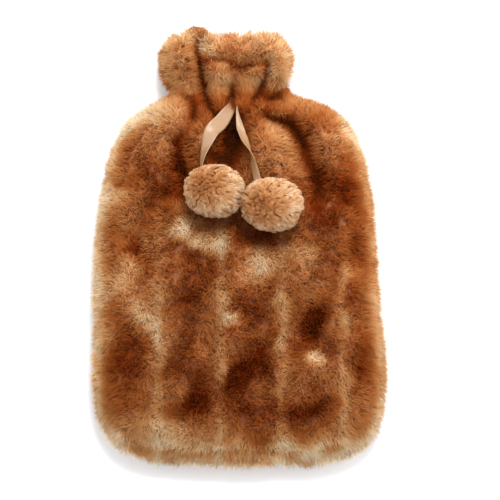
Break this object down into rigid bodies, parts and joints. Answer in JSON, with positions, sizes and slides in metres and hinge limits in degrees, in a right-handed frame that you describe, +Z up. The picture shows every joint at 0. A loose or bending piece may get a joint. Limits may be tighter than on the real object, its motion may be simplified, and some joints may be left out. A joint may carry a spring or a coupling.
{
  "type": "hot water bottle cover",
  "caption": "Soft fur bag with a gathered neck and ruffled collar, tied with a satin ribbon that ends in pompoms.",
  "frame": {"origin": "on the surface the cover lies on, under the middle of its overall box", "axes": "+X across the front to its right, +Y towards the gathered collar, +Z up out of the front"},
  "size_m": [0.2452, 0.3666, 0.092],
  "materials": {
    "fur": "long soft pile",
    "ribbon": "satin",
    "pompom": "dense soft pile"
  },
  "bodies": {
    "root": {"front_panel": "fur", "back_panel": "fur", "ribbon_tie": "ribbon", "pompom_left": "pompom", "pompom_right": "pompom"}
  },
  "joints": []
}
